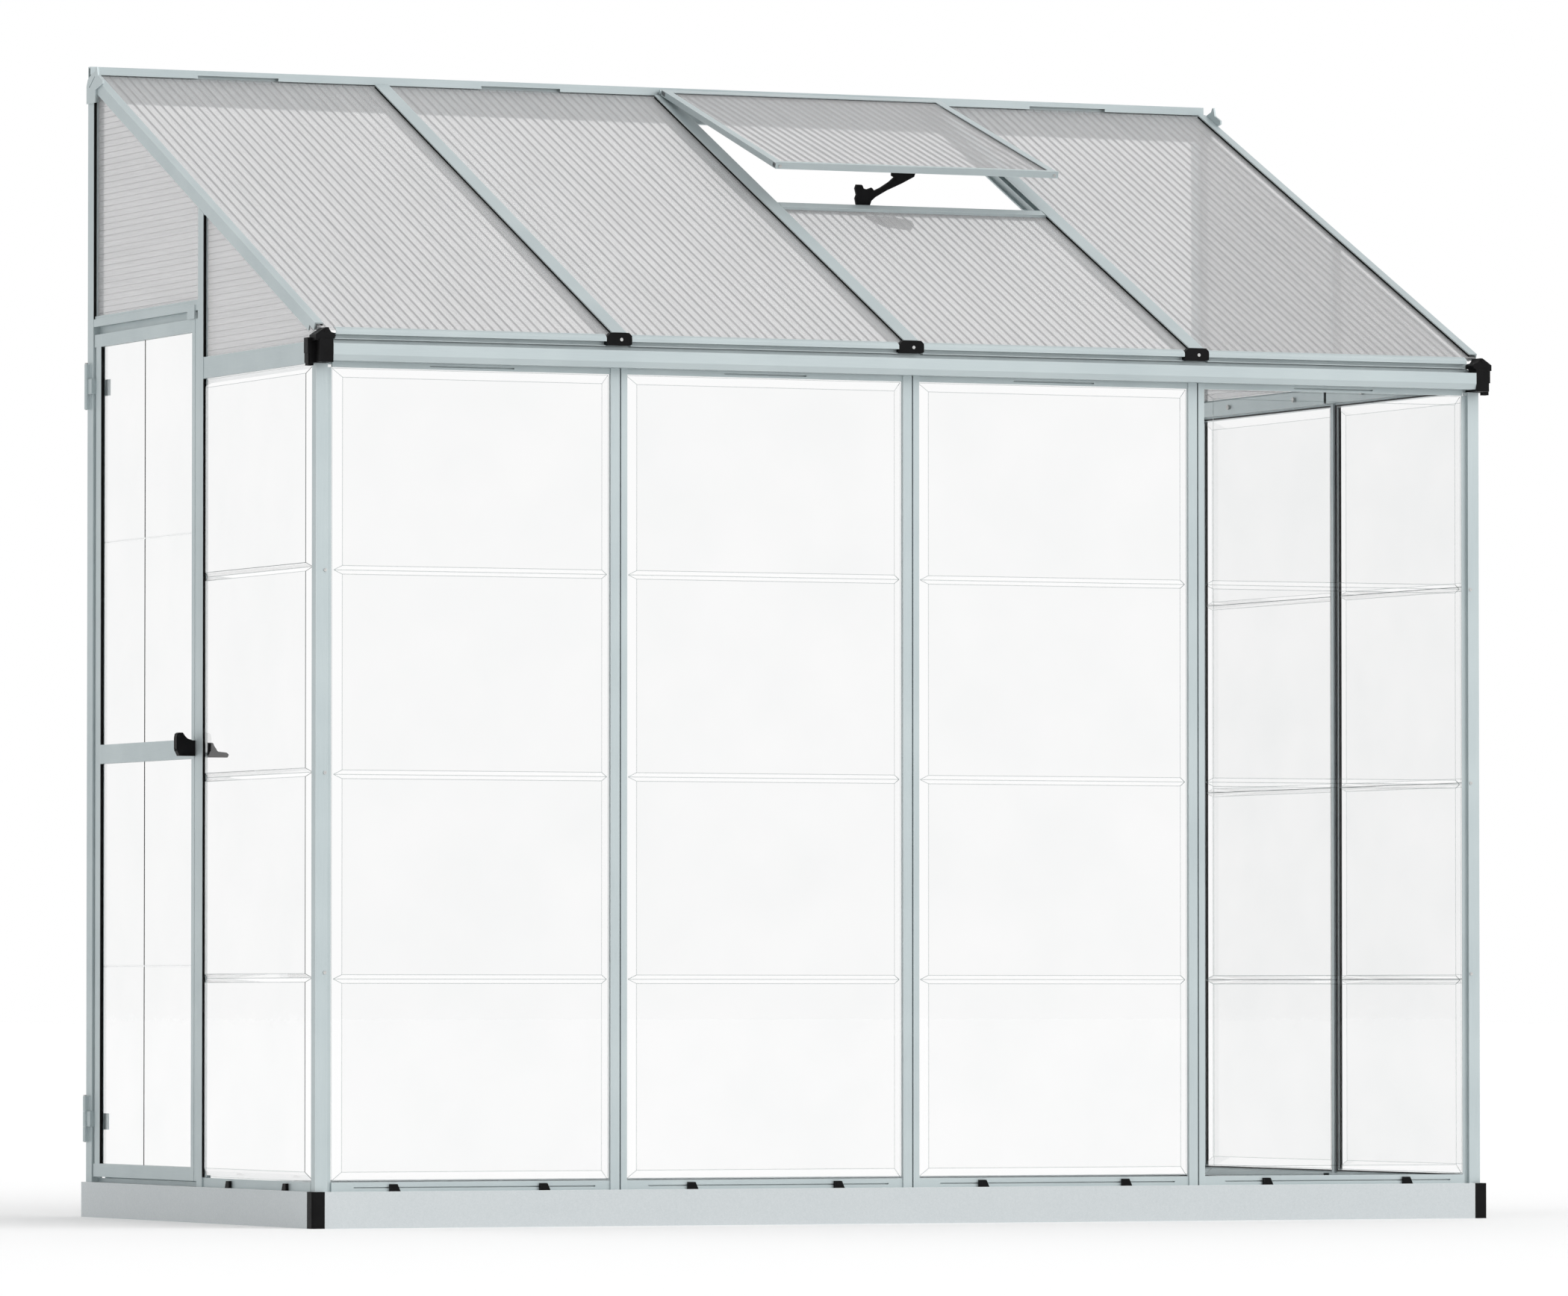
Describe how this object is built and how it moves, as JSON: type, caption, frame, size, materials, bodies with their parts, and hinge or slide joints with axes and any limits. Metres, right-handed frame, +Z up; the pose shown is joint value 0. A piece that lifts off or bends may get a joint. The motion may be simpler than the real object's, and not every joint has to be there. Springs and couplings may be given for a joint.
{
  "type": "lean-to greenhouse",
  "caption": "Lean-to greenhouse with an aluminium frame, formed clear panes, twin-wall roof, hinged gable door, opening roof vent with stay, gutter and base.",
  "frame": {"origin": "middle of the footprint at ground level", "axes": "+X right along the house wall seen from the front, +Y back to the wall, +Z up"},
  "size_m": [2.5151, 1.278, 2.28],
  "materials": {
    "aluminium_frame": "mill-finish extrusion, slightly satin",
    "galvanised_base": "galvanised folded sheet steel",
    "black_plastic": "fine-grained black moulding",
    "rubber_seal": "matt black seal",
    "clear_pane": "clear formed sheet",
    "twin_wall": "translucent twin-wall sheet",
    "steel_fasteners": "zinc-plated"
  },
  "bodies": {
    "frame": {"base_clips": "black_plastic", "base_corners": "black_plastic", "base_front": "galvanised_base", "base_rear": "galvanised_base", "base_sides": "galvanised_base", "bottom_rail_front": "aluminium_frame", "bottom_rails_gable": "aluminium_frame", "corner_posts": "aluminium_frame", "door_hinge_brackets": "aluminium_frame", "door_hinge_pins": "steel_fasteners", "door_threshold": "aluminium_frame", "eave_rail": "aluminium_frame", "eave_trims": "aluminium_frame", "frame_bolts": "steel_fasteners", "front_pane_1": "clear_pane", "front_pane_2": "clear_pane", "front_pane_3": "clear_pane", "front_pane_4": "clear_pane", "front_posts": "aluminium_frame", "gable_panels_front": "twin_wall", "gable_panels_rear": "twin_wall", "gable_post_left": "aluminium_frame", "gable_post_right": "aluminium_frame", "gable_rails": "aluminium_frame", "gable_seals": "rubber_seal", "gutter": "aluminium_frame", "gutter_ends": "black_plastic", "rafter_caps": "black_plastic", "rafters_end": "aluminium_frame", "rafters_middle": "aluminium_frame", "rear_posts": "aluminium_frame", "roof_panel_1": "twin_wall", "roof_panel_2": "twin_wall", "roof_panel_3": "twin_wall", "roof_panel_4": "twin_wall", "roof_seals": "rubber_seal", "side_panes": "clear_pane", "stay_peg": "black_plastic", "transom_rail": "aluminium_frame", "vent_sill": "aluminium_frame", "wall_rail": "aluminium_frame", "wall_rail_ends": "aluminium_frame"},
    "door": {"door_bottom_rail": "aluminium_frame", "door_hinge_leaves": "aluminium_frame", "door_hinge_stile": "aluminium_frame", "door_latch_stile": "aluminium_frame", "door_mid_rail": "aluminium_frame", "door_pane_lower": "clear_pane", "door_pane_upper": "clear_pane", "door_seals": "rubber_seal", "door_top_rail": "aluminium_frame"},
    "door_handle": {"handle_outer": "black_plastic", "handle_inner": "black_plastic"},
    "roof_vent": {"vent_front_rail": "aluminium_frame", "vent_panel": "twin_wall", "vent_screws": "steel_fasteners", "vent_side_rails": "aluminium_frame", "vent_stay_bracket": "black_plastic", "vent_top_rail": "aluminium_frame"},
    "vent_stay": {"stay_arm": "black_plastic"}
  },
  "joints": [
    {"name": "door_hinge", "type": "hinge", "parent": "frame", "child": "door", "pos_m": [-1.2345, 0.629, 0.92], "axis": [0, 0, -1], "range_deg": [0, 87]},
    {"name": "handle_turn", "type": "hinge", "parent": "door", "child": "door_handle", "pos_m": [-1.226, 0.045, 0.9145], "axis": [1, 0, 0], "range_deg": [0, 90]},
    {"name": "vent_hinge", "type": "hinge", "parent": "frame", "child": "roof_vent", "pos_m": [0.314, 0.618, 2.27035], "axis": [-1, 0, 0], "range_deg": [-6.65, 38]},
    {"name": "stay_pivot", "type": "hinge", "parent": "roof_vent", "child": "vent_stay", "pos_m": [0.287, 0.07024, 2.0712], "axis": [0, 0.9499, 0.3125], "range_deg": [-40, 16]}
  ]
}
